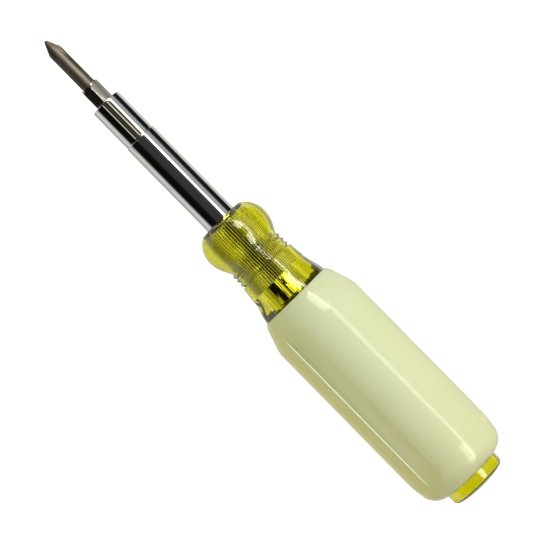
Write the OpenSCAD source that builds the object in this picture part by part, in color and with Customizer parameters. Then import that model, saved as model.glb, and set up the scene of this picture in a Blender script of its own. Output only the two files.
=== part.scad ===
// Screwdriver with a reversible shaft: a clear amber handle with a soft sleeve, a tube that
// pulls out and turns end for end, and a double-ended bit in the hexagon socket at each end.
// It lies along X with the working tip at +X, and rests on z = 0 on one of the sleeve's flats.
// Stations run back along the axis from the working tip, so each outline is [radius, station].

/* [Bits] */
// Length of a double-ended bit, end to end
bit_len = 63; // [58:0.5:66]
// Length of the hexagon in the middle of a bit
bit_hex_len = 23.2; // [22:0.2:24]
// Size across the flats of the front bit's hexagon (quarter inch)
front_flats = 6.35; // [6.3:0.05:6.4]
// Size across the flats of the rear bit's hexagon (five sixteenths)
rear_flats = 7.94; // [7.9:0.02:7.98]
// Diameter of the front bit's round ends
front_shank_d = 4.95; // [4.6:0.05:5.2]
// Diameter of the rear bit's round ends
rear_shank_d = 6.2; // [5.8:0.1:6.4]

/* [Shaft] */
// Length of the plain tube between the two sockets
tube_len = 101.6; // [98:0.2:104]
// Outside diameter of the tube and of the tail socket
tube_d = 11.4; // [11.4:0.05:11.6]
// Outside diameter of the nose socket
nose_d = 10.8; // [10.6:0.05:11]
// Length of each socket outside the tube, which is also the depth of its hexagon
socket_len = 15.8; // [15.4:0.1:16.4]
// Length of the splined collar at the middle of the tube
collar_len = 23; // [20:0.5:23]
// Teeth on the splined collar
spline_teeth = 52; // [40:2:60]

/* [Handle] */
// Length of the handle from the mouth to the butt
handle_len = 118.4; // [116:0.2:122]
// Radius of the ball head behind the mouth
ball_r = 12.2; // [11.8:0.1:12.6]
// Radius of the core under the sleeve
core_r = 12.65; // [12.4:0.05:12.8]
// Radius of the butt behind the sleeve
butt_r = 10.1; // [9.8:0.1:10.2]

/* [Sleeve] */
// Radius over the raised lands of the sleeve
grip_r = 16.6; // [16.4:0.1:17]
// How far the lands stand above the rest of the sleeve
land_h = 0.55; // [0.4:0.05:0.7]
// How far the core, shaft and bits are turned round the axis from the sleeve's flats
core_turn = -38; // [-44:1:-32]
// Width of the recessed flat between two lands
flat_w = 6.1; // [5:0.1:7]
// How far the flat lies below the lands
flat_drop = 0.9; // [0.85:0.05:1.1]

/* [Hidden] */
round_fn = 96;

// stations along the axis, from the working tip
blade_len = (bit_len - bit_hex_len) / 2;
nose_s = bit_len - blade_len - socket_len;
tube_s = nose_s + socket_len;
shaft_mid_s = tube_s + tube_len / 2;
tail_s = tube_s + tube_len;
shaft_end_s = tail_s + socket_len;
rear_bit_s = tail_s + socket_len + nose_s - bit_len;
mouth_depth = 2.8;
mouth_s = shaft_mid_s - collar_len / 2 - mouth_depth;
butt_s = mouth_s + handle_len;

// running clearances
slide_gap = 0.08;
hex_gap = 0.05;

// drive splines
tooth_h = 0.4;
tooth_base = 0.4;
mouth_ease = 0.3;
spline_tip_r = tube_d / 2 + tooth_base + tooth_h;
mouth_r = spline_tip_r + mouth_ease;
spline_stop_gap = 0.1;
tooth_turn = 360 / spline_teeth;

// handle outline, in distances behind the mouth
ball_front_round = 8.1;
ball_at = 7.1;
ball_rear_from = 94;
neck_r = 9.9;
ring_count = 3;
ring_pitch = 1.75;
ring_at = 16.1;
ring_peak_r = 10.15;
ring_valley_r = 9.65;
collar_at = 20.7;
collar_front_r = 10.35;
collar_rear_r = 10.9;
flare_at = 25.9;
flare_len = 8;
flare_steps = 10;
facets = 8;
facet_at = 7.5;
facet_turn = 26.4;
shoulder_at = 107.4;
butt_wall_r = 10.35;
butt_round = 1.7;
butt_round_turn = 75;
dome_share = 0.8;
tube_bore_end = 0.5;
bit_bore_r = 5.2;
bit_bore_end = 1.2;

// sleeve outline, in distances behind the mouth
lip_r = 13;
lip_round_r = 13.9;
lip_round_at = 35.2;
grip_base_r = grip_r - land_h;
base_from = 41.7;
land_from = 41.9;
land_to = 105.3;
land_rear_slope = 0.3;
flat_from = 38;
flat_to = 106;
rear_round = 6.5;
rear_round_at = 106.6;
butt_hole_r = 10.4;

// sockets, rings and bits
spigot_r = 4.7;
spigot_len = 10;
nose_stop_r = 3.05;
tail_stop_r = 3.75;
nose_edge = 0.7;
ring_wire_r = 0.25;
ring_split = 50;
ring_depth = socket_len - bit_hex_len / 2;
front_ring_out = 0.455;
rear_ring_out = 0.53;
front_ring_r = front_flats / 2 + front_ring_out;
rear_ring_r = rear_flats / 2 + rear_ring_out;
ring_room = 0.42;
ring_groove_w = 0.7;
notch_w = 0.9;
notch_drop = 0.08;
hex_edge_len = 1.3;
hex_edge_drop = 0.55;
point_nose_r = 0.5;
point_len = 4.6;
cross_len = 7.8;
cross_rib = 0.42;
blade_taper = 9;
blade_thick = 0.9;
rear_bit_size = 1.2;
cut_over = 1;

// The sleeve rests on the two edges of its lower flat.
axis_z = sqrt(pow(grip_r, 2) - pow(flat_w / 2, 2));

// Points on a circle round [cr, ch], turning from the front pole over the top to the rear pole.
function turn_points(cr, ch, r, from, to, n) =
    [for (i = [0 : n]) let (a = from + (to - from) * i / n) [cr + r * sin(a), ch - r * cos(a)]];

// Places children with z running back along the axis from station s, and x pointing up, then
// turns them round the axis.
module behind(s, turn = 0) {
    translate([butt_s / 2 - s, 0, axis_z]) rotate([0, -90, 0]) rotate([0, 0, turn]) children();
}

module turned(outline) {
    rotate_extrude($fn = round_fn) polygon(outline);
}

// A ring of pointed spline teeth with the given tip radius.
module spline_section(tip_r) {
    polygon([for (i = [0 : 2 * spline_teeth - 1])
        let (r = i % 2 == 0 ? tip_r : tip_r - tooth_h, a = i * tooth_turn / 2)
        [r * cos(a), r * sin(a)]]);
}

module hexagon(flats) {
    circle(r = flats / 2 / cos(30), $fn = 6);
}

ball_front_turn = acos(ball_at / ball_front_round);
ball_rear_turn = 180 - asin(neck_r / ball_r);
ring_points = [for (i = [0 : ring_count - 1]) each
    [[ring_valley_r, ring_at + (i - 0.5) * ring_pitch], [ring_peak_r, ring_at + i * ring_pitch]]];
flare_points = [for (i = [0 : flare_steps])
    [collar_rear_r + (core_r - collar_rear_r) * (1 - cos(180 * i / flare_steps)) / 2,
     flare_at + flare_len * i / flare_steps]];
butt_round_r = butt_r - butt_round;
dome_r = (butt_round_r + butt_round * cos(butt_round_turn)) / cos(butt_round_turn);
butt_round_at = handle_len - butt_round * sin(butt_round_turn) - dome_r * (1 - sin(butt_round_turn));

core_outline = concat(
    [[0, 0]],
    turn_points(ball_r - ball_front_round, ball_at, ball_front_round, ball_front_turn, 90, 8),
    turn_points(0, ball_at, ball_r, ball_rear_from, ball_rear_turn, 5),
    ring_points,
    [[ring_valley_r, ring_at + (ring_count - 0.5) * ring_pitch], [collar_front_r, collar_at]],
    flare_points,
    [[core_r, shoulder_at], [butt_wall_r, shoulder_at]],
    turn_points(butt_round_r, butt_round_at, butt_round, 90, 90 + butt_round_turn, 6),
    turn_points(0, handle_len - dome_r, dome_r, 180 - (90 - butt_round_turn) * dome_share, 180, 4));

// One slanting cut that leaves a flat along the flare.
module facet_cut() {
    slope = atan((core_r - collar_rear_r) / flare_len);
    rotate([0, 0, facet_at])
        translate([collar_rear_r * cos(facet_turn / 2), 0, flare_at])
            rotate([0, slope, 0])
                translate([0, -core_r / 2, 0]) cube([core_r, core_r, flare_len * 2]);
}

module handle_core() {
    color("gold") behind(mouth_s, core_turn) difference() {
        turned(core_outline);
        for (i = [0 : facets - 1]) rotate([0, 0, i * 360 / facets]) facet_cut();
        translate([0, 0, -cut_over])
            cylinder(r = mouth_r, h = mouth_depth + cut_over, $fn = round_fn);
        linear_extrude(mouth_depth + collar_len + spline_stop_gap)
            spline_section(spline_tip_r + slide_gap);
        cylinder(r = tube_d / 2 + slide_gap, h = shaft_end_s - mouth_s + tube_bore_end, $fn = round_fn);
        cylinder(r = bit_bore_r, h = rear_bit_s + bit_len - mouth_s + bit_bore_end, $fn = round_fn);
    }
}

rear_hole_turn = 180 - asin((butt_hole_r - grip_base_r + rear_round) / rear_round);
sleeve_outline = concat(
    [[core_r, flare_at + flare_len], [lip_r, flare_at + flare_len], [lip_round_r, lip_round_at],
     [grip_base_r, base_from], [grip_r, land_from], [grip_r, land_to], [grip_base_r, land_to + land_rear_slope]],
    turn_points(grip_base_r - rear_round, rear_round_at, rear_round, 90, rear_hole_turn, 10),
    [[butt_hole_r, shoulder_at], [core_r, shoulder_at]]);

module recessed_flat() {
    translate([grip_r - flat_drop, -flat_w / 2, flat_from])
        cube([grip_r, flat_w, flat_to - flat_from]);
}

module grip_sleeve() {
    color("beige") behind(mouth_s) difference() {
        turned(sleeve_outline);
        for (side = [0, 180]) rotate([0, 0, side]) recessed_flat();
    }
}

module shaft_tube() {
    color("silver") behind(tube_s, core_turn) difference() {
        cylinder(d = tube_d, h = tube_len, $fn = round_fn);
        translate([0, 0, -cut_over])
            cylinder(r = spigot_r, h = tube_len + 2 * cut_over, $fn = round_fn);
    }
}

module drive_collar() {
    color("lightgray") behind(shaft_mid_s - collar_len / 2, core_turn) difference() {
        linear_extrude(collar_len) spline_section(spline_tip_r);
        translate([0, 0, -cut_over])
            cylinder(d = tube_d, h = collar_len + 2 * cut_over, $fn = round_fn);
    }
}

// Hexagon socket, mouth at z = 0, with a spigot that presses into the tube and a ring groove.
module hex_socket(outer_d, flats, stop_r, ring_r) {
    difference() {
        turned([[0, 0], [outer_d / 2 - nose_edge, 0], [outer_d / 2, nose_edge],
                [outer_d / 2, socket_len], [spigot_r, socket_len],
                [spigot_r, socket_len + spigot_len], [0, socket_len + spigot_len]]);
        translate([0, 0, -cut_over])
            linear_extrude(socket_len + cut_over) hexagon(flats + 2 * hex_gap);
        cylinder(r = stop_r, h = socket_len + spigot_len + cut_over, $fn = round_fn);
        translate([0, 0, ring_depth - ring_groove_w / 2])
            cylinder(r = ring_r + ring_wire_r + ring_room, h = ring_groove_w, $fn = round_fn);
    }
}

module nose_socket() {
    color("silver") behind(nose_s, core_turn) hex_socket(nose_d, front_flats, nose_stop_r, front_ring_r);
}

module tail_socket() {
    color("silver") behind(shaft_end_s, core_turn) mirror([0, 0, 1])
        hex_socket(tube_d, rear_flats, tail_stop_r, rear_ring_r);
}

module snap_ring(ring_r) {
    rotate([0, 0, 90 + ring_split / 2]) rotate_extrude(angle = 360 - ring_split, $fn = round_fn)
        translate([ring_r, 0]) circle(r = ring_wire_r, $fn = 24);
}

module front_snap_ring() {
    color("dimgray") behind(nose_s + ring_depth, core_turn) snap_ring(front_ring_r);
}

module rear_snap_ring() {
    color("dimgray") behind(shaft_end_s - ring_depth, core_turn) snap_ring(rear_ring_r);
}

// Hexagon of a bit from z = 0, with eased ends and a notch round the middle for the snap ring.
module bit_hexagon(flats, ring_r) {
    corner_r = flats / 2 / cos(30);
    difference() {
        intersection() {
            linear_extrude(bit_hex_len) hexagon(flats);
            turned([[0, 0], [corner_r - hex_edge_drop, 0], [corner_r, hex_edge_len],
                    [corner_r, bit_hex_len - hex_edge_len], [corner_r - hex_edge_drop, bit_hex_len],
                    [0, bit_hex_len]]);
        }
        translate([0, 0, (bit_hex_len - notch_w) / 2]) difference() {
            cylinder(r = corner_r + cut_over, h = notch_w, $fn = round_fn);
            cylinder(r = ring_r - ring_wire_r - notch_drop, h = notch_w, $fn = round_fn);
        }
    }
}

// Cross point, tip at z = 0: a cone on the round shank with four grooves between its ribs.
module cross_point(shank_d, size) {
    difference() {
        turned([[0, 0], [point_nose_r * size, 0], [shank_d / 2, point_len * size],
                [shank_d / 2, blade_len], [0, blade_len]]);
        for (i = [0 : 3]) rotate([0, 0, 45 + i * 90])
            translate([cross_rib * size, 0, 0])
                rotate([0, atan((shank_d / 2 - cross_rib * size) / (cross_len * size)), 0])
                    translate([0, 0, -cut_over]) rotate([0, 0, -45])
                        cube([shank_d, shank_d, blade_len]);
    }
}

// Flat blade, tip at z = 0: the round shank ground to a wedge.
module flat_blade(shank_d) {
    slope = atan((shank_d - blade_thick) / 2 / blade_taper);
    difference() {
        cylinder(d = shank_d, h = blade_len, $fn = round_fn);
        for (side = [0, 180]) rotate([0, 0, side])
            translate([blade_thick / 2, -shank_d, 0]) rotate([0, slope, 0])
                translate([0, 0, -cut_over]) cube([shank_d, 2 * shank_d, blade_taper * 2]);
    }
}

module double_bit(flats, shank_d, ring_r, size) {
    cross_point(shank_d, size);
    translate([0, 0, blade_len]) bit_hexagon(flats, ring_r);
    translate([0, 0, bit_len]) mirror([0, 0, 1]) flat_blade(shank_d);
}

module front_bit() {
    color("dimgray") behind(0, core_turn) double_bit(front_flats, front_shank_d, front_ring_r, 1);
}

module rear_bit() {
    color("dimgray") behind(rear_bit_s + bit_len, core_turn) mirror([0, 0, 1])
        double_bit(rear_flats, rear_shank_d, rear_ring_r, rear_bit_size);
}

handle_core();
grip_sleeve();
shaft_tube();
drive_collar();
nose_socket();
tail_socket();
front_bit();
rear_bit();
front_snap_ring();
rear_snap_ring();
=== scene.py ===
import math

import bpy
from mathutils import Matrix, Vector


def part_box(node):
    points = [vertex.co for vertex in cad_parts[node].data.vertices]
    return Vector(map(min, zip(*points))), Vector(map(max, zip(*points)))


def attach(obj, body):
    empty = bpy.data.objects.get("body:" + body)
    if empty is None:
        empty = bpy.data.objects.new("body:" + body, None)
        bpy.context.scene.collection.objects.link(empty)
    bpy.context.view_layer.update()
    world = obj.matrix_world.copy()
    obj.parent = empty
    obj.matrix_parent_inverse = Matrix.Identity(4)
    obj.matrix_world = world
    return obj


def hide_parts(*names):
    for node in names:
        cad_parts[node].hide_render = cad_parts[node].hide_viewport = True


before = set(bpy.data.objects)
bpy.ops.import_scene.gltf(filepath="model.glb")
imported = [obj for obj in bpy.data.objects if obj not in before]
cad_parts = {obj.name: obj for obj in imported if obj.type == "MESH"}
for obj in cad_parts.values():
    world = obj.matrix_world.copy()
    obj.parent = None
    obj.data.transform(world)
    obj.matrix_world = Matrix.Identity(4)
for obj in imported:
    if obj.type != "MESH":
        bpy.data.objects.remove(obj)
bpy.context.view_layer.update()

MM = 0.001
WELD = 1e-6
ROUND_STEPS = 144
SMALL_STEPS = 72

tube_lo, tube_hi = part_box("shaft_tube")
AXIS_Z = (tube_lo.z + tube_hi.z) / 2
TIP_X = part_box("front_bit")[1].x
MOUTH_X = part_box("handle_core")[1].x
BUTT_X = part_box("handle_core")[0].x
REAR_BIT_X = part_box("rear_bit")[0].x
NOSE_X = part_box("nose_socket")[1].x
TAIL_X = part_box("tail_socket")[0].x
COLLAR_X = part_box("drive_collar")[1].x
TUBE_R = (tube_hi.z - tube_lo.z) / 2 / MM
TUBE_LEN = (tube_hi.x - tube_lo.x) / MM
HANDLE_LEN = (MOUTH_X - BUTT_X) / MM
COLLAR_LEN = (COLLAR_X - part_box("drive_collar")[0].x) / MM
NOSE_R = (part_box("nose_socket")[1].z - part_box("nose_socket")[0].z) / 2 / MM

# The core, shaft and bits are turned this far round the axis from the sleeve's flats. Angles run
# from straight up towards +Y.
CORE_TURN = -38.0


# ---- modelling helpers -------------------------------------------------------------------


def clear_selection():
    if bpy.context.object and bpy.context.object.mode != "OBJECT":
        bpy.ops.object.mode_set(mode="OBJECT")
    bpy.ops.object.select_all(action="DESELECT")


def only(obj):
    clear_selection()
    obj.select_set(True)
    bpy.context.view_layer.objects.active = obj


def name_it(obj, name):
    obj.name = name
    obj.data.name = name
    return obj


def settle(obj):
    """Puts the object's origin at the world's, with its place in its mesh."""
    only(obj)
    bpy.ops.object.transform_apply(location=True, rotation=True, scale=True)
    return obj


def turn_about(obj, degrees, axis, through):
    """Turns a piece about a line that runs along X or Z through a point."""
    only(obj)
    point = Vector(through)
    there, back = Matrix.Translation(point), Matrix.Translation(-point)
    turn = Matrix.Rotation(math.radians(degrees), 4, axis)
    obj.matrix_world = there @ turn @ back @ obj.matrix_world
    return settle(obj)


def turn_about_axis(obj, degrees):
    """Turns a piece round the tool's axis, from straight up towards +Y."""
    return turn_about(obj, -degrees, "X", (0, 0, AXIS_Z))


def arc(back, radius, round_r, start, end, steps):
    """Outline points on a circle, its angle measured from the front pole over the outside."""
    angles = [math.radians(start + (end - start) * i / steps) for i in range(steps + 1)]
    return [(back - round_r * math.cos(a), radius + round_r * math.sin(a)) for a in angles]


def turned(name, start_x, outline, steps=ROUND_STEPS):
    """A piece turned on the axis from an outline of (back, radius) points."""
    clear_selection()
    bpy.ops.mesh.primitive_plane_add(size=MM, location=(start_x, 0, AXIS_Z))
    obj = name_it(bpy.context.object, name)
    bpy.ops.object.mode_set(mode="EDIT")
    bpy.ops.mesh.select_all(action="SELECT")
    bpy.ops.mesh.merge(type="CENTER")
    back, radius = outline[0]
    bpy.ops.transform.translate(value=(-back * MM, 0, radius * MM))
    for next_back, next_radius in outline[1:]:
        move = ((back - next_back) * MM, 0, (next_radius - radius) * MM)
        bpy.ops.mesh.extrude_vertices_move(TRANSFORM_OT_translate={"value": move})
        back, radius = next_back, next_radius
    bpy.ops.mesh.select_all(action="SELECT")
    centre = (start_x, 0, AXIS_Z)
    bpy.ops.mesh.spin(steps=steps, angle=math.tau, center=centre, axis=(1, 0, 0))
    bpy.ops.mesh.select_all(action="SELECT")
    bpy.ops.mesh.remove_doubles(threshold=WELD)
    bpy.ops.mesh.normals_make_consistent(inside=False)
    bpy.ops.object.mode_set(mode="OBJECT")
    return settle(obj)


def prism(name, sides, radius, front_x, length):
    """A bar of that many sides along the axis, its first corner straight up."""
    clear_selection()
    middle = (front_x - length * MM / 2, 0, AXIS_Z)
    bpy.ops.mesh.primitive_cylinder_add(
        vertices=sides, radius=radius * MM, depth=length * MM, location=middle)
    obj = name_it(bpy.context.object, name)
    obj.rotation_euler = (0, math.radians(90), 0)
    return turn_about_axis(settle(obj), 90)


def block(name, size, centre):
    clear_selection()
    bpy.ops.mesh.primitive_cube_add(size=1, location=centre)
    obj = name_it(bpy.context.object, name)
    obj.scale = size
    return settle(obj)


def bevel(obj, width, segments=2, angle=30):
    only(obj)
    step = obj.modifiers.new("edge", "BEVEL")
    step.width = width * MM
    step.segments = segments
    step.limit_method = "ANGLE"
    step.angle_limit = math.radians(angle)
    bpy.ops.object.modifier_apply(modifier=step.name)
    return obj


def combine(obj, tool, operation):
    """Cuts, joins or meets the piece with a tool body, which is then removed."""
    only(obj)
    step = obj.modifiers.new("shape", "BOOLEAN")
    step.operation = operation
    step.object = tool
    step.solver = "EXACT"
    bpy.ops.object.modifier_apply(modifier=step.name)
    bpy.data.objects.remove(tool, do_unlink=True)
    return obj


def smooth(obj, angle=30):
    only(obj)
    bpy.ops.object.shade_smooth_by_angle(angle=math.radians(angle))
    return obj


def around(count, first, make):
    """Makes copies of a tool round the axis and joins them into one body."""
    copies = [turn_about_axis(make(i), first + i * 360 / count) for i in range(count)]
    clear_selection()
    for copy in copies:
        copy.select_set(True)
    bpy.context.view_layer.objects.active = copies[0]
    bpy.ops.object.join()
    return bpy.context.object


def finish_piece(obj, body, slot_name, material, *nodes):
    """Gives a piece its material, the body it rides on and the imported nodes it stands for."""
    obj.data.materials.clear()
    obj.data.materials.append(material)
    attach(obj, body)
    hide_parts(*nodes)
    return obj


# ---- shader groups -----------------------------------------------------------------------


def new_group(name, inputs, outputs):
    group = bpy.data.node_groups.new(name, "ShaderNodeTree")
    for label, kind, value in inputs:
        socket = group.interface.new_socket(label, in_out="INPUT", socket_type=kind)
        socket.default_value = value
    for label, kind in outputs:
        group.interface.new_socket(label, in_out="OUTPUT", socket_type=kind)
    return group, group.nodes.new("NodeGroupInput"), group.nodes.new("NodeGroupOutput")


def mix_colour(tree, factor, first, second, blend="MIX"):
    """Mixes two colours by a factor. Each of the three is a value or another node's output."""
    node = tree.nodes.new("ShaderNodeMix")
    node.data_type = "RGBA"
    node.blend_type = blend
    sockets = (node.inputs[0], node.inputs[6], node.inputs[7])
    for socket, value in zip(sockets, (factor, first, second)):
        if hasattr(value, "is_output"):
            tree.links.new(value, socket)
        else:
            socket.default_value = value
    return node.outputs[2]


def calculate(tree, operation, first, second=0.0):
    """One math node on two numbers. Each is a value or another node's output."""
    node = tree.nodes.new("ShaderNodeMath")
    node.operation = operation
    for socket, value in zip(node.inputs, (first, second)):
        if hasattr(value, "is_output"):
            tree.links.new(value, socket)
        else:
            socket.default_value = value
    return node.outputs[0]


def span(tree, value, low, high, to_low=0.0, to_high=1.0):
    """Maps a range of values on to another range, held at both ends."""
    node = tree.nodes.new("ShaderNodeMapRange")
    tree.links.new(value, node.inputs["Value"])
    labels = ("From Min", "From Max", "To Min", "To Max")
    for label, number in zip(labels, (low, high, to_low, to_high)):
        node.inputs[label].default_value = number
    return node.outputs["Result"]


def axis_point(tree, scale=(1, 1, 1)):
    """Object coordinates with the tool's axis at the origin, then scaled."""
    place = tree.nodes.new("ShaderNodeTexCoord")
    move = tree.nodes.new("ShaderNodeMapping")
    move.inputs["Location"].default_value = (0, 0, -AXIS_Z * scale[2])
    move.inputs["Scale"].default_value = scale
    tree.links.new(place.outputs["Object"], move.inputs["Vector"])
    return move.outputs["Vector"]


def grain_group():
    """Fine even grain as a height, and a slow cloud over the surface as a mask."""
    group, enter, leave = new_group(
        "fine_grain",
        [("Grain", "NodeSocketFloat", 2400.0), ("Cloud", "NodeSocketFloat", 60.0)],
        [("Height", "NodeSocketFloat"), ("Mask", "NodeSocketFloat")])
    point = axis_point(group)
    for label, target, detail in (("Grain", "Height", 2.0), ("Cloud", "Mask", 3.0)):
        node = group.nodes.new("ShaderNodeTexNoise")
        node.inputs["Detail"].default_value = detail
        group.links.new(point, node.inputs["Vector"])
        group.links.new(enter.outputs[label], node.inputs["Scale"])
        group.links.new(node.outputs["Fac"], leave.inputs[target])
    return group


def streak_group():
    """Marks that run round a turned surface, and sparse scuffs along it, both as masks."""
    group, enter, leave = new_group(
        "turning_marks",
        [("Fineness", "NodeSocketFloat", 1.0)],
        [("Rings", "NodeSocketFloat"), ("Scuffs", "NodeSocketFloat")])
    for label, scale, detail in (
            ("Rings", (5200, 90, 90), 2.0), ("Scuffs", (160, 2200, 2200), 1.0)):
        point = axis_point(group, scale)
        node = group.nodes.new("ShaderNodeTexNoise")
        node.inputs["Detail"].default_value = detail
        group.links.new(point, node.inputs["Vector"])
        group.links.new(enter.outputs["Fineness"], node.inputs["Scale"])
        result = node.outputs["Fac"]
        if label == "Scuffs":
            result = span(group, result, 0.62, 0.74)
        group.links.new(result, leave.inputs[label])
    return group


GRAIN = grain_group()
STREAKS = streak_group()


def use_group(tree, group, **values):
    node = tree.nodes.new("ShaderNodeGroup")
    node.node_tree = group
    for key, value in values.items():
        node.inputs[key].default_value = value
    return node


def new_material(name):
    material = bpy.data.materials.new(name)
    material.use_nodes = True
    tree = material.node_tree
    return material, tree, tree.nodes["Principled BSDF"], tree.nodes["Material Output"]


def bump(tree, shader, height, strength, distance):
    node = tree.nodes.new("ShaderNodeBump")
    node.inputs["Strength"].default_value = strength
    node.inputs["Distance"].default_value = distance * MM
    tree.links.new(height, node.inputs["Height"])
    tree.links.new(node.outputs["Normal"], shader.inputs["Normal"])


# ---- materials ---------------------------------------------------------------------------

AMBER = (0.95, 0.96, 0.66, 1), (0.98, 0.99, 0.76, 1)
AMBER_DEPTH = (0.896, 0.886, 0.0, 1)
# Painted shade for the stripes in the clear core's bore.
BORE_PAINTED_SHADE = (0.24, 0.21, 0.08, 1)
CREAM = (0.625, 0.695, 0.465, 1), (0.675, 0.755, 0.555, 1)
CREAM_REARWARD = (0.66, 0.63, 0.35, 1)
# The sleeve turns yellower towards the butt, between these two places along the axis.
REARWARD_FROM, REARWARD_TO = -0.005, -0.085
CHROME = (0.84, 0.83, 0.80, 1)
CHROME_SCUFFED = (0.66, 0.64, 0.60, 1)
SPLINE_CREST = (0.60, 0.58, 0.44, 1), (0.74, 0.72, 0.58, 1)
# The spline valleys' near black is painted shade.
SPLINE_FOOT_PAINTED_SHADE = (0.03, 0.025, 0.02, 1)
GROUND_STEEL = (0.56, 0.54, 0.47, 1), (0.68, 0.66, 0.58, 1)
BROWN_STEEL = (0.13, 0.107, 0.088, 1), (0.23, 0.198, 0.172, 1)
RUBBED_STEEL = (0.66, 0.62, 0.55, 1)
STEEL_EDGE_TINT = (0.45, 0.38, 0.30, 1)
WIRE_STEEL = (0.34, 0.33, 0.31, 1), (0.52, 0.50, 0.47, 1)


def roughen(tree, shader, value, low, high, smoothest, roughest):
    """Takes the roughness from one measure, between two ends of it."""
    rough = span(tree, value, low, high, smoothest, roughest)
    tree.links.new(rough, shader.inputs["Roughness"])


def axis_distance(tree):
    """How far a point lies from the tool's axis, in metres."""
    across = tree.nodes.new("ShaderNodeVectorMath")
    across.operation = "MULTIPLY"
    across.inputs[1].default_value = (0, 1, 1)
    tree.links.new(axis_point(tree), across.inputs[0])
    length = tree.nodes.new("ShaderNodeVectorMath")
    length.operation = "LENGTH"
    tree.links.new(across.outputs["Vector"], length.inputs[0])
    return length.outputs["Value"]


def spline_wave(tree):
    """Runs from -1 at the foot of each spline to 1 at its crest, round the axis."""
    parts = tree.nodes.new("ShaderNodeSeparateXYZ")
    tree.links.new(axis_point(tree), parts.inputs["Vector"])
    angle = calculate(tree, "ARCTAN2", parts.outputs["Y"], parts.outputs["Z"])
    local = calculate(tree, "SUBTRACT", angle, math.radians(CORE_TURN))
    return calculate(tree, "COSINE", calculate(tree, "MULTIPLY", local, SPLINE_TEETH))


def clear_amber():
    """Clear yellow-green cellulose plastic, polished, tinted by its own depth, with painted shade
    in stripes along its bore.
    """
    material, tree, shader, output = new_material("clear_amber")
    shader.inputs["Transmission Weight"].default_value = 1.0
    shader.inputs["IOR"].default_value = 1.48
    shader.inputs["Coat Weight"].default_value = 0.35
    shader.inputs["Coat IOR"].default_value = 1.5
    shader.inputs["Coat Roughness"].default_value = 0.12
    marks = use_group(tree, GRAIN, Grain=1500.0, Cloud=90.0)
    colour = mix_colour(tree, marks.outputs["Mask"], *AMBER)
    # Painted shade: the bore's surface is darkened in stripes that follow the splines.
    bore = span(
        tree, axis_distance(tree), (SPLINE_TIP_R + 0.3) * MM, (SPLINE_TIP_R + 0.2) * MM)
    bore_shade = calculate(tree, "MULTIPLY", bore, span(tree, spline_wave(tree), -0.1, -0.6))
    colour = mix_colour(tree, bore_shade, colour, BORE_PAINTED_SHADE)
    tree.links.new(colour, shader.inputs["Base Color"])
    roughen(tree, shader, marks.outputs["Mask"], 0.3, 0.7, 0.015, 0.045)
    bump(tree, shader, marks.outputs["Height"], 0.03, 0.02)
    depth = tree.nodes.new("ShaderNodeVolumeAbsorption")
    depth.inputs["Color"].default_value = AMBER_DEPTH
    depth.inputs["Density"].default_value = 250.0
    tree.links.new(depth.outputs["Volume"], output.inputs["Volume"])
    return material


def cream_cushion():
    """Soft vinyl sleeve: cream, yellower towards the butt, with a faint mottle and a fine skin."""
    material, tree, shader, _ = new_material("cream_cushion")
    marks = use_group(tree, GRAIN, Grain=480.0, Cloud=38.0)
    parts = tree.nodes.new("ShaderNodeSeparateXYZ")
    tree.links.new(axis_point(tree), parts.inputs["Vector"])
    # Yellower towards the butt, by place along the axis.
    rearward = calculate(tree, "MULTIPLY", span(tree, parts.outputs["X"], REARWARD_FROM, REARWARD_TO), 0.4)
    colour = mix_colour(tree, marks.outputs["Mask"], *CREAM)
    colour = mix_colour(tree, rearward, colour, CREAM_REARWARD)
    tree.links.new(colour, shader.inputs["Base Color"])
    roughen(tree, shader, marks.outputs["Height"], 0.5, 0.62, 0.05, 0.20)
    shader.inputs["Specular IOR Level"].default_value = 0.3
    shader.inputs["Subsurface Weight"].default_value = 0.2
    shader.inputs["Subsurface Radius"].default_value = (1.0, 0.9, 0.35)
    shader.inputs["Subsurface Scale"].default_value = 1.5 * MM
    bump(tree, shader, marks.outputs["Height"], 0.3, 0.08)
    return material


def bright_plating():
    """Bright nickel-chrome plating with faint turning rings and a few scuffs."""
    material, tree, shader, _ = new_material("bright_plating")
    shader.inputs["Metallic"].default_value = 1.0
    marks = use_group(tree, STREAKS, Fineness=1.0)
    colour = mix_colour(tree, marks.outputs["Scuffs"], CHROME, CHROME_SCUFFED)
    tree.links.new(colour, shader.inputs["Base Color"])
    rough = calculate(tree, "ADD", span(tree, marks.outputs["Rings"], 0.3, 0.7, 0.03, 0.055),
                      calculate(tree, "MULTIPLY", marks.outputs["Scuffs"], 0.12))
    tree.links.new(rough, shader.inputs["Roughness"])
    bump(tree, shader, marks.outputs["Rings"], 0.05, 0.01)
    return material


def knurled_plating():
    """The collar's splines: pale worn crests over valleys painted near black as shade."""
    material, tree, shader, _ = new_material("knurled_plating")
    shader.inputs["Metallic"].default_value = 0.1
    tip = SPLINE_TIP_R * MM
    crest = span(tree, axis_distance(tree), tip - 0.7 * TOOTH_H * MM, tip - 0.15 * TOOTH_H * MM)
    grain = use_group(tree, GRAIN, Grain=4200.0, Cloud=500.0)
    worn = mix_colour(tree, grain.outputs["Mask"], *SPLINE_CREST)
    # Painted shade: the valleys take near black, the crests the worn plating colour.
    colour = mix_colour(tree, crest, SPLINE_FOOT_PAINTED_SHADE, worn)
    tree.links.new(colour, shader.inputs["Base Color"])
    roughen(tree, shader, grain.outputs["Height"], 0.3, 0.7, 0.50, 0.65)
    bump(tree, shader, grain.outputs["Height"], 0.15, 0.01)
    return material


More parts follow.
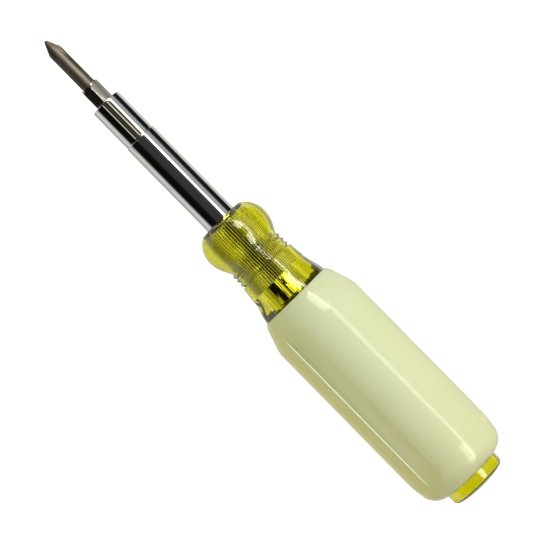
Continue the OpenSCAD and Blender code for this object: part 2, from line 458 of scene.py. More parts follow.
def bit_steel():
    """Warm grey hardened steel: ground hexagon, duller and browner shanks."""
    material, tree, shader, _ = new_material("bit_steel")
    shader.inputs["Metallic"].default_value = 1.0
    marks = use_group(tree, STREAKS, Fineness=0.8)
    grain = use_group(tree, GRAIN, Grain=3000.0, Cloud=260.0)
    shader.inputs["Specular Tint"].default_value = STEEL_EDGE_TINT
    hexagon = span(tree, axis_distance(tree), *HEXAGON_FROM)
    ground = mix_colour(tree, grain.outputs["Mask"], *GROUND_STEEL)
    brown = mix_colour(tree, grain.outputs["Mask"], *BROWN_STEEL)
    colour = mix_colour(tree, hexagon, brown, ground)
    rubbed = calculate(tree, "MULTIPLY", marks.outputs["Scuffs"], 0.5)
    colour = mix_colour(tree, rubbed, colour, RUBBED_STEEL)
    tree.links.new(colour, shader.inputs["Base Color"])
    rough = calculate(tree, "ADD", span(tree, marks.outputs["Rings"], 0.3, 0.7, 0.17, 0.26),
                      span(tree, hexagon, 0.0, 1.0, 0.30, 0.0))
    tree.links.new(rough, shader.inputs["Roughness"])
    bump(tree, shader, marks.outputs["Rings"], 0.25, 0.02)
    return material


def drawn_wire():
    """Drawn spring wire, dull with fine lines."""
    material, tree, shader, _ = new_material("drawn_wire")
    shader.inputs["Metallic"].default_value = 1.0
    grain = use_group(tree, GRAIN, Grain=5200.0, Cloud=700.0)
    colour = mix_colour(tree, grain.outputs["Mask"], *WIRE_STEEL)
    tree.links.new(colour, shader.inputs["Base Color"])
    roughen(tree, shader, grain.outputs["Height"], 0.3, 0.7, 0.26, 0.42)
    bump(tree, shader, grain.outputs["Height"], 0.3, 0.01)
    return material


# ---- handle ------------------------------------------------------------------------------

FRONT_ROUND = 8.1
BALL_R = 12.2
BALL_AT = 7.1
BALL_REAR_FROM = 94
NECK_R = 9.9
RING_COUNT = 3
RING_PITCH = 1.75
RING_AT = 16.1
RING_PEAK_R = 10.2
RING_VALLEY_R = 9.5
RING_TIP = 0.12
RING_TIP_DROP = 0.03
COLLAR_AT = 20.7
COLLAR_FRONT_R = 10.35
COLLAR_REAR_R = 10.9
FLARE_AT = 25.9
FLARE_LEN = 8.0
CORE_R = 12.65
FACETS = 8
FACET_AT = 7.5
FACET_TURN = 26.4
SHOULDER_AT = 107.4
BUTT_WALL_R = 10.35
BUTT_R = 10.1
BUTT_ROUND = 1.7
BUTT_ROUND_TURN = 75
SPLINE_TEETH = 52
TOOTH_POINTS = 6
SPLINE_TIP_R = TUBE_R + 0.8
TOOTH_H = 0.4
BORE_TOOTH_H = 0.2
SLIDE_GAP = 0.08
MOUTH_R = SPLINE_TIP_R + 0.3
MOUTH_DEPTH = 2.8
BIT_BORE_R = 5.2
BORE_END = 1.2
TUBE_BORE_END = 0.5
CORE_SHADING = 30
FACET_CREASE = 7
CREASE_AHEAD = 3
CREASE_BEHIND = 2


def ring_teeth():
    """Three pointed rings round the neck, each with a small rounded crest."""
    points = []
    for i in range(RING_COUNT):
        crest = RING_AT + i * RING_PITCH
        shoulder_r = RING_PEAK_R - RING_TIP_DROP
        points += [(crest - RING_PITCH / 2, RING_VALLEY_R), (crest - RING_TIP, shoulder_r),
                   (crest, RING_PEAK_R), (crest + RING_TIP, shoulder_r)]
    return points


def flare(steps):
    """The S-shaped rise from the collar to the body inside the sleeve."""
    rise = CORE_R - COLLAR_REAR_R
    points = []
    for i in range(steps + 1):
        share = (1 - math.cos(math.pi * i / steps)) / 2
        points.append((FLARE_AT + FLARE_LEN * i / steps, COLLAR_REAR_R + rise * share))
    return points


def core_outline():
    """The core from the middle of the ball's front to the middle of the butt's dome."""
    front_turn = math.degrees(math.acos(BALL_AT / FRONT_ROUND))
    neck_turn = 180 - math.degrees(math.asin(NECK_R / BALL_R))
    round_r = BUTT_R - BUTT_ROUND
    turn = math.radians(BUTT_ROUND_TURN)
    dome_r = (round_r + BUTT_ROUND * math.cos(turn)) / math.cos(turn)
    round_at = HANDLE_LEN - BUTT_ROUND * math.sin(turn) - dome_r * (1 - math.sin(turn))
    last_valley = RING_AT + (RING_COUNT - 0.5) * RING_PITCH
    return ([(0, 0)]
            + arc(BALL_AT, BALL_R - FRONT_ROUND, FRONT_ROUND, front_turn, 90, 18)
            + arc(BALL_AT, 0, BALL_R, BALL_REAR_FROM, neck_turn, 12)
            + ring_teeth()
            + [(last_valley, RING_VALLEY_R), (COLLAR_AT, COLLAR_FRONT_R)]
            + flare(14)
            + [(SHOULDER_AT, CORE_R), (SHOULDER_AT, BUTT_WALL_R)]
            + arc(round_at, round_r, BUTT_ROUND, 90, 90 + BUTT_ROUND_TURN, 8)
            + arc(HANDLE_LEN - dome_r, 0, dome_r, 167, 180, 5))


def facet_tool(_):
    """A block whose inner face lies along the flare, for one of its flats."""
    slope = math.atan((CORE_R - COLLAR_REAR_R) / FLARE_LEN)
    half_turn = math.radians(FACET_TURN / 2)
    depth, width, length = 4.0, 8.0, FLARE_LEN * 2
    tool = block("facet_tool", (length * MM, width * MM, depth * MM),
                 (-length / 2 * MM, 0, depth / 2 * MM))
    seat = (MOUTH_X - FLARE_AT * MM, 0, AXIS_Z + COLLAR_REAR_R * math.cos(half_turn) * MM)
    tool.rotation_euler = (0, slope, 0)
    tool.location = seat
    return settle(tool)


def splined_bar(name, front_x, length, tip_r, tooth_h):
    """A bar with rounded splines: the corners of a many-sided bar are drawn in as a wave."""
    obj = prism(name, TOOTH_POINTS * SPLINE_TEETH, tip_r, front_x, length)
    corner_turn = math.tau / (TOOTH_POINTS * SPLINE_TEETH)
    for phase in range(1, TOOTH_POINTS):
        for v in obj.data.vertices:
            angle = math.atan2(v.co.y, v.co.z - AXIS_Z)
            v.select = round(angle / corner_turn) % TOOTH_POINTS == phase
        for group in (obj.data.edges, obj.data.polygons):
            group.foreach_set("select", [False] * len(group))
        only(obj)
        bpy.ops.object.mode_set(mode="EDIT")
        bpy.ops.mesh.select_mode(type="VERT")
        drop = tooth_h * (1 - math.cos(math.tau * phase / TOOTH_POINTS)) / 2
        draw_in = (tip_r - drop) / tip_r
        bpy.ops.transform.resize(value=(1, draw_in, draw_in), center_override=(front_x, 0, AXIS_Z))
        bpy.ops.object.mode_set(mode="OBJECT")
    return obj


def bore_outline():
    """The plain bores behind the splines: the wide mouth, the tube's bore and the bit's bore."""
    tube_end = (MOUTH_X - TAIL_X) / MM + TUBE_BORE_END
    bit_end = (MOUTH_X - REAR_BIT_X) / MM + BORE_END
    tube_bore = TUBE_R + SLIDE_GAP
    return [(-1, 0), (-1, MOUTH_R), (MOUTH_DEPTH, MOUTH_R), (MOUTH_DEPTH, tube_bore),
            (tube_end, tube_bore), (tube_end, BIT_BORE_R), (bit_end, BIT_BORE_R), (bit_end, 0)]


def crease_facets(core):
    """Keeps the borders of the flare's flats crisp."""
    only(core)
    turns = {}
    for face in core.data.polygons:
        for key in face.edge_keys:
            turns.setdefault(key, []).append(face.normal.copy())
    points = core.data.vertices
    start, end = FLARE_AT - CREASE_AHEAD, FLARE_AT + FLARE_LEN + CREASE_BEHIND
    for edge in core.data.edges:
        middle = (points[edge.vertices[0]].co + points[edge.vertices[1]].co) / 2
        back = (MOUTH_X - middle.x) / MM
        radius = math.hypot(middle.y, middle.z - AXIS_Z) / MM
        normals = turns.get(edge.key, [])
        turn = math.degrees(normals[0].angle(normals[1], 0.0)) if len(normals) == 2 else 0.0
        edge.select = turn > FACET_CREASE and start < back < end and radius > NECK_R
    core.data.vertices.foreach_set("select", [False] * len(points))
    core.data.polygons.foreach_set("select", [False] * len(core.data.polygons))
    bpy.ops.object.mode_set(mode="EDIT")
    bpy.ops.mesh.select_mode(type="EDGE")
    bpy.ops.mesh.mark_sharp()
    bpy.ops.mesh.select_mode(type="VERT")
    bpy.ops.object.mode_set(mode="OBJECT")


def make_core(material):
    core = turned("handle_core_clear", MOUTH_X, core_outline())
    combine(core, around(FACETS, FACET_AT, facet_tool), "DIFFERENCE")
    combine(core, turned("bore_tool", MOUTH_X, bore_outline(), SPLINE_TEETH * 2), "DIFFERENCE")
    spline_from = MOUTH_X - (MOUTH_DEPTH - 0.5) * MM
    spline_r = SPLINE_TIP_R + SLIDE_GAP
    tool = splined_bar("spline_tool", spline_from, COLLAR_LEN + 0.6, spline_r, BORE_TOOTH_H)
    combine(core, tool, "DIFFERENCE")
    turn_about_axis(core, CORE_TURN)
    smooth(core, CORE_SHADING)
    crease_facets(core)
    return finish_piece(core, "handle", "amber", material, "handle_core")


LIP_R = 13.0
LIP_EDGE = 0.15
LIP_ROUND_R = 13.9
LIP_ROUND_AT = 35.2
GRIP_R = 16.6
LAND_H = 0.55
BASE_R = GRIP_R - LAND_H
BASE_FROM = 41.7
LAND_TO = 105.3
# The land's two ends, as steps back and out from where each one starts.
LAND_RISE = [(0, 0), (0.6, 0.18), (1.2, 0.33), (1.9, 0.45), (2.8, 0.52), (4, LAND_H)]
LAND_FALL = [(-4, 0), (-2.6, -0.03), (-1.3, -0.12), (0, -0.3)]
REAR_ROUND = 6.5
REAR_ROUND_AT = 106.6
BUTT_HOLE_R = 10.4
FLAT_W = 6.1
FLAT_DROP = 0.9
FLAT_FROM = 38.0
FLAT_TO = 106.0
FLAT_BLEND = 10.0
BLEND_TURN = 27
BLEND_STEPS = 12
WALL_ROUND = 0.25
SLEEVE_BITE = 0.05


def sleeve_outline():
    """The sleeve, closed on itself: lip, rounded front, land, rounded rear and the inside."""
    hole_turn = 180 - math.degrees(math.asin((BUTT_HOLE_R - BASE_R + REAR_ROUND) / REAR_ROUND))
    start = FLARE_AT + FLARE_LEN
    inner = CORE_R - SLEEVE_BITE
    return ([(start, inner), (start, LIP_R - LIP_EDGE), (start + LIP_EDGE, LIP_R)]
            + [(LIP_ROUND_AT, LIP_ROUND_R), (LIP_ROUND_AT + 3, LIP_ROUND_R + 0.99)]
            + [(BASE_FROM + back, BASE_R + out) for back, out in LAND_RISE]
            + [(LAND_TO + back, GRIP_R + out) for back, out in LAND_FALL]
            + arc(REAR_ROUND_AT, BASE_R - REAR_ROUND, REAR_ROUND, 93, hole_turn, 16)
            + [(SHOULDER_AT, BUTT_HOLE_R), (SHOULDER_AT, inner), (start, inner)])


def flat_tool(_):
    """Cuts one recessed flat: a crisp wall on one side, a long round blend on the other."""
    floor_z = GRIP_R - FLAT_DROP
    wall_y = FLAT_W / 2
    blend_y = math.sqrt((GRIP_R - FLAT_BLEND) ** 2 - (floor_z - FLAT_BLEND) ** 2)
    part_way = WALL_ROUND * 0.3
    points = [(wall_y, floor_z + WALL_ROUND), (wall_y - part_way, floor_z + part_way),
              (wall_y - WALL_ROUND, floor_z)]
    for i in range(BLEND_STEPS + 1):
        a = math.radians(BLEND_TURN * i / BLEND_STEPS)
        drop = FLAT_BLEND * (1 - math.cos(a))
        points.append((-blend_y - FLAT_BLEND * math.sin(a), floor_z - drop))
    points += [(-GRIP_R, floor_z), (-GRIP_R, GRIP_R + 2), (wall_y, GRIP_R + 2)]
    clear_selection()
    front_x = MOUTH_X - FLAT_FROM * MM
    bpy.ops.mesh.primitive_plane_add(size=MM, location=(front_x, 0, AXIS_Z))
    tool = name_it(bpy.context.object, "flat_tool")
    bpy.ops.object.mode_set(mode="EDIT")
    bpy.ops.mesh.select_all(action="SELECT")
    bpy.ops.mesh.merge(type="CENTER")
    y, z = points[0]
    bpy.ops.transform.translate(value=(0, y * MM, z * MM))
    for next_y, next_z in points[1:]:
        move = (0, (next_y - y) * MM, (next_z - z) * MM)
        bpy.ops.mesh.extrude_vertices_move(TRANSFORM_OT_translate={"value": move})
        y, z = next_y, next_z
    bpy.ops.mesh.select_all(action="SELECT")
    bpy.ops.mesh.edge_face_add()
    length = (FLAT_TO - FLAT_FROM) * MM
    bpy.ops.mesh.extrude_region_move(TRANSFORM_OT_translate={"value": (-length, 0, 0)})
    bpy.ops.mesh.select_all(action="SELECT")
    bpy.ops.mesh.normals_make_consistent(inside=False)
    bpy.ops.object.mode_set(mode="OBJECT")
    return settle(tool)


def make_sleeve(material):
    sleeve = turned("grip_sleeve_soft", MOUTH_X, sleeve_outline(), 192)
    combine(sleeve, around(2, 0, flat_tool), "DIFFERENCE")
    smooth(sleeve, 25)
    return finish_piece(sleeve, "handle", "cushion", material, "grip_sleeve")


# ---- shaft -------------------------------------------------------------------------------

SPIGOT_R = 4.7
SPIGOT_LEN = 10.0
SOCKET_LEN = 15.8
TUBE_EDGE = 0.18
MOUTH_EDGE = 0.5
REAR_EDGE = 0.25
LOOP_GAP = 0.05
HEX_GAP = 0.05
SEAT_GAP = 0.03
FRONT_FLATS = 6.35
REAR_FLATS = 7.94
NOSE_STOP_R = 3.05
TAIL_STOP_R = 3.75
RING_DEPTH = 4.2
GROOVE_W = 0.7
WIRE_R = 0.25
RING_ROOM = 0.42
FRONT_RING_R = FRONT_FLATS / 2 + 0.455
REAR_RING_R = REAR_FLATS / 2 + 0.53
RING_SPLIT = 50
WIRE_EDGE = 0.06


def make_tube(material):
    edge = TUBE_EDGE
    outline = ([(0, SPIGOT_R)] + arc(edge, TUBE_R - edge, edge, 0, 90, 4)
               + [(edge + LOOP_GAP, TUBE_R), (TUBE_LEN - edge - LOOP_GAP, TUBE_R)]
               + arc(TUBE_LEN - edge, TUBE_R - edge, edge, 90, 180, 4)
               + [(TUBE_LEN, SPIGOT_R), (0, SPIGOT_R)])
    tube = turned("shaft_tube_plated", tube_hi.x, outline)
    smooth(tube, 40)
    return finish_piece(tube, "shaft", "plated", material, "shaft_tube")


def make_collar(material):
    collar = splined_bar("drive_collar_splined", COLLAR_X, COLLAR_LEN, SPLINE_TIP_R, TOOTH_H)
    bore = prism("collar_bore", ROUND_STEPS, TUBE_R, COLLAR_X + MM, COLLAR_LEN + 2)
    combine(collar, bore, "DIFFERENCE")
    turn_about_axis(collar, CORE_TURN)
    smooth(collar, 50)
    return finish_piece(collar, "shaft", "plated", material, "drive_collar")


def socket_body(name, mouth_x, outer_r, flats, stop_r, ring_r):
    """A hexagon socket that opens forward, with the ring's groove and a pressed spigot."""
    edge = MOUTH_EDGE
    groove_r = ring_r + WIRE_R + RING_ROOM
    body_end = SOCKET_LEN + SPIGOT_LEN
    corner_r = (flats / 2 + HEX_GAP) / math.cos(math.radians(30))
    outline = ([(0, 0), (0, outer_r - edge)] + arc(edge, outer_r - edge, edge, 10, 90, 6)
               + [(edge + LOOP_GAP, outer_r), (SOCKET_LEN - REAR_EDGE - LOOP_GAP, outer_r)]
               + arc(SOCKET_LEN - REAR_EDGE, outer_r - REAR_EDGE, REAR_EDGE, 90, 180, 5)
               + [(SOCKET_LEN, SPIGOT_R)]
               + [(body_end, SPIGOT_R), (body_end, 0)])
    body = turned(name, mouth_x, outline)
    over_x = mouth_x + MM
    groove_x = mouth_x - (RING_DEPTH - GROOVE_W / 2) * MM
    for sides, radius, front_x, length in (
            (6, corner_r, over_x, SOCKET_LEN + SEAT_GAP + 1),
            (SMALL_STEPS, stop_r, over_x, body_end + 2),
            (SMALL_STEPS, groove_r, groove_x, GROOVE_W)):
        combine(body, prism("bore_tool", sides, radius, front_x, length), "DIFFERENCE")
    return body


def turn_end_for_end(obj, front_x):
    """Half a turn about the upright line through the piece's front."""
    return turn_about(obj, 180, "Z", (front_x, 0, 0))


def make_sockets(material):
    nose = socket_body(
        "nose_socket_plated", NOSE_X, NOSE_R, FRONT_FLATS, NOSE_STOP_R, FRONT_RING_R)
    turn_about_axis(nose, CORE_TURN)
    smooth(nose, 25)
    finish_piece(nose, "shaft", "plated", material, "nose_socket")
    tail = socket_body(
        "tail_socket_plated", TAIL_X, TUBE_R, REAR_FLATS, TAIL_STOP_R, REAR_RING_R)
    turn_end_for_end(tail, TAIL_X)
    turn_about_axis(tail, CORE_TURN)
    smooth(tail, 25)
    finish_piece(tail, "shaft", "plated", material, "tail_socket")


def make_snap_ring(node, centre_x, ring_r, material):
    """Split spring ring: the wire's round section, spun most of the way round."""
    clear_selection()
    seat = (centre_x, 0, AXIS_Z + ring_r * MM)
    bpy.ops.mesh.primitive_circle_add(
        vertices=16, radius=WIRE_R * MM, fill_type="NGON", location=seat,
        rotation=(math.radians(90), 0, 0))
    ring = settle(name_it(bpy.context.object, node + "_wire"))
    bpy.ops.object.mode_set(mode="EDIT")
    bpy.ops.mesh.select_all(action="SELECT")
    turn = math.radians(360 - RING_SPLIT)
    bpy.ops.mesh.spin(steps=64, angle=turn, center=(centre_x, 0, AXIS_Z), axis=(1, 0, 0))
    bpy.ops.mesh.select_all(action="SELECT")
    bpy.ops.mesh.normals_make_consistent(inside=False)
    bpy.ops.object.mode_set(mode="OBJECT")
    bevel(ring, WIRE_EDGE, 2, 60)
    turn_about_axis(ring, CORE_TURN + 90 + (180 - RING_SPLIT / 2))
    smooth(ring, 50)
    return finish_piece(ring, "shaft", "spring_steel", material, node)


# ---- bits --------------------------------------------------------------------------------

HEXAGON_FROM = (3.11 * MM, 3.16 * MM)
BIT_LEN = 63.0
BIT_HEX_LEN = 23.2
BLADE_LEN = (BIT_LEN - BIT_HEX_LEN) / 2
FRONT_SHANK_R = 2.475
REAR_SHANK_R = 3.1
HEX_EDGE_LEN = 1.3
HEX_EDGE_DROP = 0.55
NOTCH_W = 0.9
NOTCH_DROP = 0.08
POINT_NOSE_R = 0.5
POINT_LEN = 4.6
CROSS_LEN = 7.8
CROSS_RIB = 0.42
BLADE_TAPER = 9.0
BLADE_THICK = 0.9
BLADE_EDGE = 0.07
NECK_LEN = 0.35
REAR_BIT_SIZE = 1.2
HEX_ROUND = 0.07


def bit_hexagon(front_x, flats, ring_r):
    """The hexagon, its ends chamfered, with the snap ring's notch round its middle."""
    corner_r = flats / 2 / math.cos(math.radians(30))
    start = BLADE_LEN
    end = BLADE_LEN + BIT_HEX_LEN
    body = prism("bit_hexagon", 6, corner_r, front_x - start * MM, BIT_HEX_LEN)
    bevel(body, HEX_ROUND, 2, 40)
    low = ring_r - WIRE_R - NOTCH_DROP
    over = corner_r + 0.5
    chamfer_r = corner_r - HEX_EDGE_DROP
    full_from, full_to = start + HEX_EDGE_LEN, end - HEX_EDGE_LEN
    notch_from = (start + end) / 2 - NOTCH_W / 2
    notch_to = (start + end) / 2 + NOTCH_W / 2
    limit = [(start, 0), (start, chamfer_r), (full_from, corner_r), (full_from, over),
             (notch_from, over), (notch_from, low), (notch_to, low), (notch_to, over),
             (full_to, over), (full_to, corner_r), (end, chamfer_r), (end, 0)]
    return combine(body, turned("hex_limit", front_x, limit, SMALL_STEPS), "INTERSECT")


def cross_tool(front_x, shank_r, size):
    """A square bar set on edge, leaning so that one edge cuts a groove that fades out."""
    lean = math.atan((shank_r - CROSS_RIB * size) / (CROSS_LEN * size))
    side = 2 * shank_r
    length = BLADE_LEN
    diagonal = side / math.sqrt(2)

    def make(_):
        tool = block("cross_tool", (length * MM, side * MM, side * MM),
                     (-(length / 2 - 1) * MM, 0, 0))
        tool.rotation_euler = (math.radians(45), 0, 0)
        settle(tool)
        tool.location = (0, 0, diagonal * MM)
        settle(tool)
        tool.rotation_euler = (0, lean, 0)
        tool.location = (front_x, 0, AXIS_Z + CROSS_RIB * size * MM)
        return settle(tool)
    return make


def blade_tool(end_x, shank_r):
    """A block whose inner face is one slope of the flat blade, which points back from end_x."""
    slope = math.atan((shank_r - BLADE_THICK / 2) / BLADE_TAPER)
    length, width, depth = BLADE_TAPER * 2, shank_r * 4, shank_r * 2

    def make(_):
        tool = block("blade_tool", (length * MM, width * MM, depth * MM),
                     ((length / 2 - 1) * MM, 0, depth / 2 * MM))
        tool.rotation_euler = (0, -slope, 0)
        tool.location = (end_x, 0, AXIS_Z + BLADE_THICK / 2 * MM)
        return settle(tool)
    return make


def bit_shape(name, front_x, flats, shank_r, ring_r, size):
    """A double-ended bit: cross point in front, hexagon in the middle, flat blade behind."""
    nose_r = POINT_NOSE_R * size / 2
    point = POINT_LEN * size
    root_r = shank_r + NECK_LEN / 2
    hex_end = BIT_LEN - BLADE_LEN
    outline = ([(0, 0)] + arc(0.35 * size, nose_r, nose_r + 0.1, 20, 55, 3)
               + [(point - 0.3, shank_r - 0.12), (point, shank_r - 0.02), (point + 0.4, shank_r)]
               + [(BLADE_LEN - NECK_LEN, shank_r), (BLADE_LEN, root_r), (BLADE_LEN + 2, root_r)]
               + [(hex_end - 2, root_r), (hex_end, root_r), (hex_end + NECK_LEN, shank_r)]
               + [(BIT_LEN, shank_r), (BIT_LEN, 0)])
    bit = turned(name, front_x, outline, 96)
    combine(bit, around(4, 45, cross_tool(front_x, shank_r, size)), "DIFFERENCE")
    combine(bit, around(2, 0, blade_tool(front_x - BIT_LEN * MM, shank_r)), "DIFFERENCE")
    bevel(bit, BLADE_EDGE, 2, 35)
    return combine(bit, bit_hexagon(front_x, flats, ring_r), "UNION")


def make_bits(material):
    front = bit_shape(
        "front_bit_double", TIP_X, FRONT_FLATS, FRONT_SHANK_R, FRONT_RING_R, 1.0)
    turn_about_axis(front, CORE_TURN)
    smooth(front, 25)
    finish_piece(front, "front_bit", "bit_steel", material, "front_bit")
    rear = bit_shape(
        "rear_bit_double", REAR_BIT_X, REAR_FLATS, REAR_SHANK_R, REAR_RING_R, REAR_BIT_SIZE)
    turn_end_for_end(rear, REAR_BIT_X)
    turn_about_axis(rear, CORE_TURN)
    smooth(rear, 25)
    finish_piece(rear, "rear_bit", "bit_steel", material, "rear_bit")


# ---- studio ------------------------------------------------------------------------------

VIEW_SIDE = -38.0
VIEW_ROLL = 134.53
LENS = 200.0
FIELD = 174.6
VIEW_AT_X = TIP_X - 104.1 * MM


def view_frame():
    """The view's three directions: along the tool, across it, and towards the camera."""
    a = math.radians(VIEW_SIDE)
    towards = Vector((0, math.sin(a), math.cos(a)))
    along = Vector((1, 0, 0))
    return along, towards.cross(along), towards


def make_camera():
    along, across, towards = view_frame()
    roll = math.radians(VIEW_ROLL)
    right = math.cos(roll) * along - math.sin(roll) * across
    up = math.sin(roll) * along + math.cos(roll) * across
    data = bpy.data.cameras.new("camera")
    data.lens = LENS
    camera = bpy.data.objects.new("camera", data)
    bpy.context.scene.collection.objects.link(camera)
    distance = FIELD * MM * LENS / data.sensor_width
    place = Vector((VIEW_AT_X, 0, AXIS_Z)) + towards * distance
    turn = Matrix((right, up, towards)).transposed().to_4x4()
    camera.matrix_world = Matrix.Translation(place) @ turn
    bpy.context.scene.camera = camera


FLOOR_WHITE = (0.9, 0.9, 0.9, 1)
FLOOR_BOUNCE = (0.90, 0.80, 0.55, 1)
FLOOR_GLOW_SEEN = 0.86
FLOOR_GLOW_THROUGH = 0.5


def floor_shade(tree, colour, glow):
    """A matt surface of that colour, with some light of its own."""
    shade = tree.nodes.new("ShaderNodeBsdfPrincipled")
    shade.inputs["Base Color"].default_value = colour
    shade.inputs["Roughness"].default_value = 0.9
    shade.inputs["Specular IOR Level"].default_value = 0.1
    shade.inputs["Emission Color"].default_value = (1, 1, 1, 1)
    shade.inputs["Emission Strength"].default_value = glow
    return shade.outputs["BSDF"]


def make_floor():
    """A plain pale floor: white where it is looked at, warm in the light that it gives back."""
    clear_selection()
    bpy.ops.mesh.primitive_plane_add(size=6)
    floor = name_it(bpy.context.object, "floor")
    material, tree, shader, output = new_material("pale_floor")
    tree.nodes.remove(shader)
    path = tree.nodes.new("ShaderNodeLightPath")
    result = floor_shade(tree, FLOOR_BOUNCE, 0.0)
    for ray, colour, glow in (("Is Transmission Ray", FLOOR_WHITE, FLOOR_GLOW_THROUGH),
                              ("Is Camera Ray", FLOOR_WHITE, FLOOR_GLOW_SEEN)):
        choose = tree.nodes.new("ShaderNodeMixShader")
        tree.links.new(path.outputs[ray], choose.inputs["Fac"])
        tree.links.new(result, choose.inputs[1])
        tree.links.new(floor_shade(tree, colour, glow), choose.inputs[2])
        result = choose.outputs["Shader"]
    tree.links.new(result, output.inputs["Surface"])
    floor.data.materials.append(material)
    floor.visible_glossy = False


# The room as a band of values by the angle round the tool's axis, from the view's direction
# (0) towards the side that the view shows lower left (positive).
ROOM_BANDS = [
    (-180, 0.70), (-122, 0.70), (-113, 0.02), (-80, 0.005), (-72, 0.28), (-62, 0.46),
    (-50, 0.40), (-45, 0.5), (-42, 6.5), (-37, 6.5), (-34, 0.40), (-29, 0.10), (-24, 0.045),
    (24, 0.035), (32, 0.005), (72, 0.003), (80, 0.12), (88, 0.62), (112, 0.72), (126, 0.38),
    (150, 0.60), (180, 0.70),
]
ROOM_PEAK = 6.5
WARM_FROM = (0.0, 1.0)
WARM_TO = (2.6, 1.6)
WARM_TINT = (1.0, 0.78, 0.24, 1)


def make_world():
    """The room of soft bands, with a warm side in what lights the matt surfaces."""
    world = bpy.data.worlds.new("studio")
    bpy.context.scene.world = world
    world.use_nodes = True
    tree = world.node_tree
    tree.nodes.clear()
    place = tree.nodes.new("ShaderNodeTexCoord")
    _, across, towards = view_frame()
    dots = []
    for direction in (across, towards):
        dot = tree.nodes.new("ShaderNodeVectorMath")
        dot.operation = "DOT_PRODUCT"
        dot.inputs[1].default_value = direction
        tree.links.new(place.outputs["Generated"], dot.inputs[0])
        dots.append(dot.outputs["Value"])
    angle = calculate(tree, "ARCTAN2", dots[0], dots[1])
    share = span(tree, angle, -math.pi, math.pi)
    ramp = tree.nodes.new("ShaderNodeValToRGB")
    ramp.color_ramp.interpolation = "LINEAR"
    ramp.color_ramp.elements.remove(ramp.color_ramp.elements[-1])
    for index, (degrees, value) in enumerate(ROOM_BANDS):
        place_at = (degrees + 180) / 360
        stops = ramp.color_ramp.elements
        stop = stops[0] if index == 0 else stops.new(place_at)
        stop.position = place_at
        grey = value / ROOM_PEAK
        stop.color = (grey, grey, grey, 1)
    tree.links.new(share, ramp.inputs["Fac"])
    path = tree.nodes.new("ShaderNodeLightPath")
    rise, fall = span(tree, angle, *WARM_FROM), span(tree, angle, *WARM_TO)
    side = calculate(tree, "MULTIPLY", rise, fall)
    tinted = calculate(tree, "MULTIPLY", path.outputs["Is Diffuse Ray"], side)
    warm = mix_colour(tree, tinted, ramp.outputs["Color"], WARM_TINT, "MULTIPLY")
    room = tree.nodes.new("ShaderNodeBackground")
    room.inputs["Strength"].default_value = ROOM_PEAK
    tree.links.new(warm, room.inputs["Color"])
    plain = tree.nodes.new("ShaderNodeBackground")
    plain.inputs["Color"].default_value = (1, 1, 1, 1)
    choose = tree.nodes.new("ShaderNodeMixShader")
    output = tree.nodes.new("ShaderNodeOutputWorld")
    tree.links.new(path.outputs["Is Camera Ray"], choose.inputs["Fac"])
    tree.links.new(room.outputs["Background"], choose.inputs[1])
    tree.links.new(plain.outputs["Background"], choose.inputs[2])
    tree.links.new(choose.outputs["Shader"], output.inputs["Surface"])


# Lamps by name, angle round the axis, distance, size, power and colour. Lengths are in metres.
BROAD_LAMPS = [
    ("fill_light", -35, 0.9, (0.8, 0.6), 3.0, (1, 1, 1)),
    ("warm_fill", 15, 0.9, (0.8, 0.6), 2.4, (1, 0.95, 0.60)),
    ("low_light", 95, 0.6, (0.6, 0.16), 1.1, (1, 0.84, 0.30)),
    ("back_light", 122, 0.7, (0.6, 0.2), 1.4, (1, 0.95, 0.80)),
]
SEEN_THROUGH_CLEAR = ("fill_light", "warm_fill")
# Boxes by name, tilt towards the tip, size and power. They face a station on the handle.
GLOSS_BOXES = [("front_box", 30, (0.44, 0.22), 2.4), ("rear_box", -34, (0.45, 0.20), 2.0)]
BOX_ANGLE = -30
BOX_REACH = 0.7
BOX_COLOUR = (1, 1, 0.75)
BOX_X = MOUTH_X - 0.02
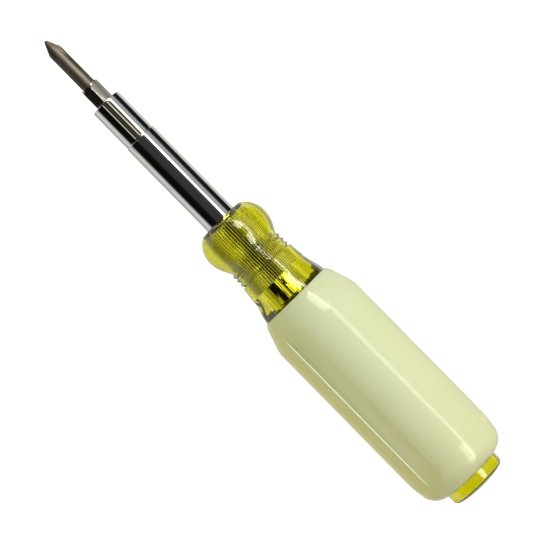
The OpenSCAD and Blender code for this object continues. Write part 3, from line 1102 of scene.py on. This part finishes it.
# Cards by name, angle, width, power and colour. They face the nose and reach just past its ends.
NOSE_CARDS = [
    ("nose_card_low", 26, 0.0038, 0.00022, (1, 0.97, 0.70)),
    ("nose_card_high", -12, 0.0080, 0.00036, (1, 0.90, 0.62)),
]
CARD_REACH = 0.06
CARD_LEN = 0.0175
CARD_X = NOSE_X - 3.2 * MM


def area_light(name, angle, tilt, reach, size, watts, colour, station_x):
    """A soft lamp at an angle round the tool's axis, tilted towards the tip, facing a station."""
    along, across, towards = view_frame()
    a, t = math.radians(angle), math.radians(tilt)
    level = math.cos(a) * towards + math.sin(a) * across
    back = math.cos(t) * level + math.sin(t) * along
    data = bpy.data.lights.new(name, "AREA")
    data.shape = "RECTANGLE"
    data.size, data.size_y = size
    data.energy = watts
    data.color = colour
    lamp = bpy.data.objects.new(name, data)
    bpy.context.scene.collection.objects.link(lamp)
    right = math.cos(t) * along - math.sin(t) * level
    turn = Matrix((right, back.cross(right), back)).transposed().to_4x4()
    place = Vector((station_x, 0, AXIS_Z)) + back * reach
    lamp.matrix_world = Matrix.Translation(place) @ turn
    lamp.visible_camera = False
    return lamp


def make_lights():
    """Broad lamps that don't show in gloss, boxes that only show in gloss, and the nose's cards."""
    for name, angle, reach, size, watts, colour in BROAD_LAMPS:
        lamp = area_light(name, angle, 0, reach, size, watts, colour, VIEW_AT_X)
        lamp.visible_glossy = False
        lamp.visible_transmission = name in SEEN_THROUGH_CLEAR
    for name, tilt, size, watts in GLOSS_BOXES:
        box = area_light(name, BOX_ANGLE, tilt, BOX_REACH, size, watts, BOX_COLOUR, BOX_X)
        box.visible_diffuse = False
    for name, angle, width, watts, colour in NOSE_CARDS:
        area_light(name, angle, 0, CARD_REACH, (CARD_LEN, width), watts, colour, CARD_X)


# ---- put together ------------------------------------------------------------------------

make_camera()
bpy.context.scene.view_settings.view_transform = "Standard"

plating = bright_plating()
steel = bit_steel()
wire = drawn_wire()
make_core(clear_amber())
make_sleeve(cream_cushion())
make_tube(plating)
make_collar(knurled_plating())
make_sockets(plating)
make_snap_ring("front_snap_ring", NOSE_X - RING_DEPTH * MM, FRONT_RING_R, wire)
make_snap_ring("rear_snap_ring", TAIL_X + RING_DEPTH * MM, REAR_RING_R, wire)
make_bits(steel)
make_floor()
make_world()
make_lights()
clear_selection()
